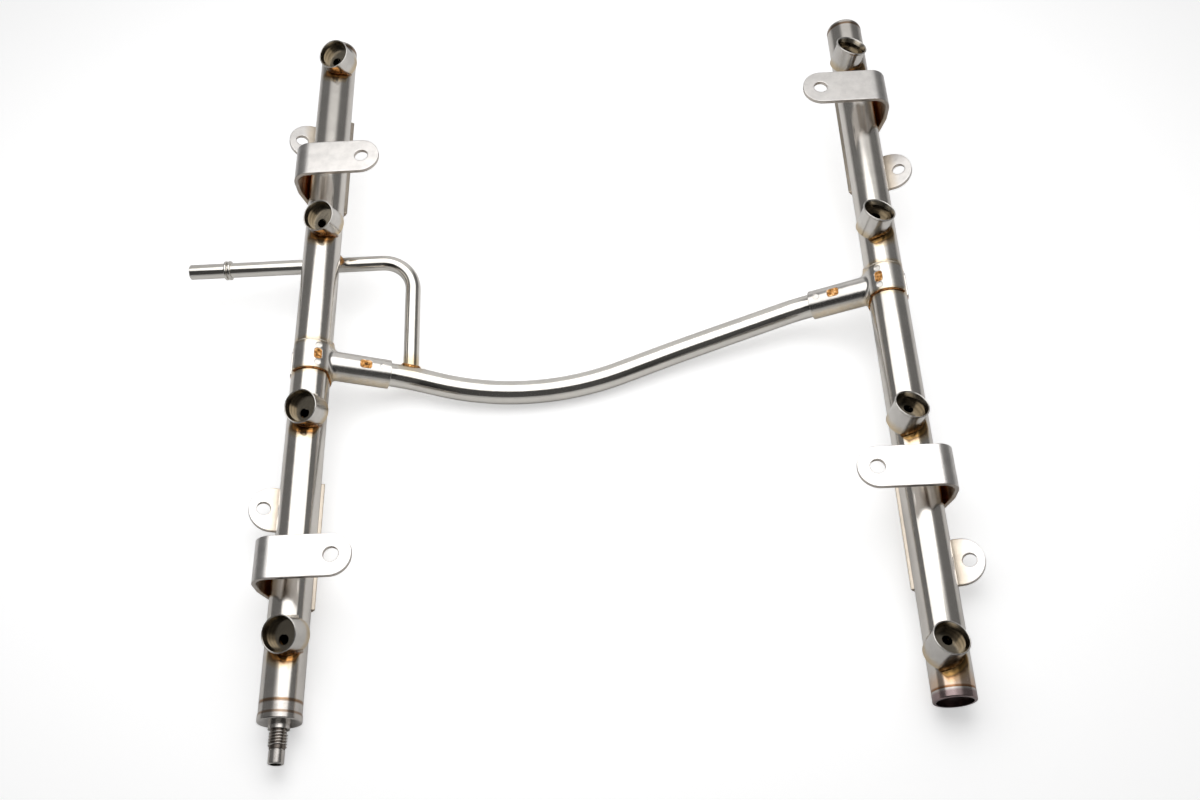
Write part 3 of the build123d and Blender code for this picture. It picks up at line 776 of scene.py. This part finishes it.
def make_world(scene):
    """A pale room with dark sides and a dark place over the front."""
    world = bpy.data.worlds.new("room")
    world.use_nodes = True
    scene.world = world
    nodes = Nodes(world.node_tree)
    direction = nodes.add("ShaderNodeTexCoord").outputs["Generated"]
    across, ahead, height = nodes.split(direction)
    side = nodes.ease(nodes.math("ABSOLUTE", nodes.math("SUBTRACT", across, 0.05)), 0.22, 0.60)
    side = nodes.product(side, nodes.ease(height, -0.30, 0.0))
    front = nodes.product(nodes.ease(ahead, -0.05, -0.35), nodes.ease(height, 0.12, 0.34))
    level = nodes.ease(ahead, -0.2, 0.6, 0.60, 0.72)
    strength = nodes.product(
        level, nodes.ease(side, 0.0, 1.0, 1.0, 0.24), nodes.ease(front, 0.0, 1.0, 1.0, 0.13)
    )
    lit = nodes.add("ShaderNodeBackground", {"Color": WHITE, "Strength": strength})
    white = nodes.add("ShaderNodeBackground", {"Color": WHITE, "Strength": 1.0})
    surface = seen_and_lit(nodes, lit.outputs[0], white.outputs[0])
    nodes.add("ShaderNodeOutputWorld", {"Surface": surface})


def make_panel():
    """One wide soft light over the object, behind the camera's line of sight."""
    lamp = bpy.data.lights.new("panel", "AREA")
    lamp.shape = "ELLIPSE"
    lamp.size, lamp.size_y = PANEL_SIZE
    area = math.pi / 4 * lamp.size * lamp.size_y
    lamp.energy = PANEL_RADIANCE * math.pi * area
    panel = link(bpy.data.objects.new("panel", lamp))
    panel.location = MIDDLE + PANEL_PLACE
    panel.rotation_euler.z = PANEL_TURN


# The camera's place from the middle of the object, and its direction in degrees.
CAMERA_PLACE = Vector((0.01151, -0.33913, 0.53947))
CAMERA_TURN = -2.560
CAMERA_DOWN = 61.245
CAMERA_ROLL = -4.924
CAMERA_FOCUS = 1268.81
IMAGE_WIDTH = 1200.0
SENSOR_WIDTH = 36.0


def make_camera(scene):
    camera = bpy.data.cameras.new("camera")
    camera.sensor_fit = "HORIZONTAL"
    camera.sensor_width = SENSOR_WIDTH
    camera.lens = CAMERA_FOCUS / IMAGE_WIDTH * SENSOR_WIDTH
    camera.clip_start = 0.01
    turn, down, roll = (math.radians(v) for v in (CAMERA_TURN, CAMERA_DOWN, CAMERA_ROLL))
    forward = Vector((
        math.sin(turn) * math.cos(down), math.cos(turn) * math.cos(down), -math.sin(down)
    ))
    right = Vector((math.cos(turn), -math.sin(turn), 0.0))
    up = right.cross(forward)
    rolled_right = right * math.cos(roll) + up * math.sin(roll)
    rolled_up = up * math.cos(roll) - right * math.sin(roll)
    eye = link(bpy.data.objects.new("camera", camera))
    axes = Matrix((rolled_right, rolled_up, -forward)).transposed()
    eye.matrix_world = Matrix.Translation(MIDDLE + CAMERA_PLACE) @ axes.to_4x4()
    scene.camera = eye


# ---------------------------------------------------------------- panel and start
class FUELRAIL_PT_panel(bpy.types.Panel):
    """Panel that lists the sizes, the colours and the steps"""

    bl_label = "Fuel Rail"
    bl_idname = "FUELRAIL_PT_panel"
    bl_space_type = "VIEW_3D"
    bl_region_type = "UI"
    bl_category = "Fuel Rail"

    def draw(self, context):
        layout = self.layout
        for group in (context.scene.rail_sizes, context.scene.rail_colours):
            for name in group.bl_rna.properties.keys():
                if name not in {"rna_type", "name"}:
                    layout.prop(group, name)
        for step in STEPS:
            layout.operator(step.bl_idname)


STEPS = (
    FUELRAIL_OT_tubes,
    FUELRAIL_OT_pipes,
    FUELRAIL_OT_cups,
    FUELRAIL_OT_brackets,
    FUELRAIL_OT_fittings,
    FUELRAIL_OT_ends,
    FUELRAIL_OT_braze,
    FUELRAIL_OT_thread,
    FUELRAIL_OT_stage,
)
CLASSES = (RailSizes, RailColours) + STEPS + (FUELRAIL_PT_panel,)


def register():
    for item in CLASSES:
        bpy.utils.register_class(item)
    bpy.types.Scene.rail_sizes = bpy.props.PointerProperty(type=RailSizes)
    bpy.types.Scene.rail_colours = bpy.props.PointerProperty(type=RailColours)


def unregister():
    del bpy.types.Scene.rail_colours
    del bpy.types.Scene.rail_sizes
    for item in reversed(CLASSES):
        bpy.utils.unregister_class(item)


def main():
    register()
    for step in STEPS:
        group, name = step.bl_idname.split(".")
        getattr(getattr(bpy.ops, group), name)()


if __name__ == "__main__":
    main()
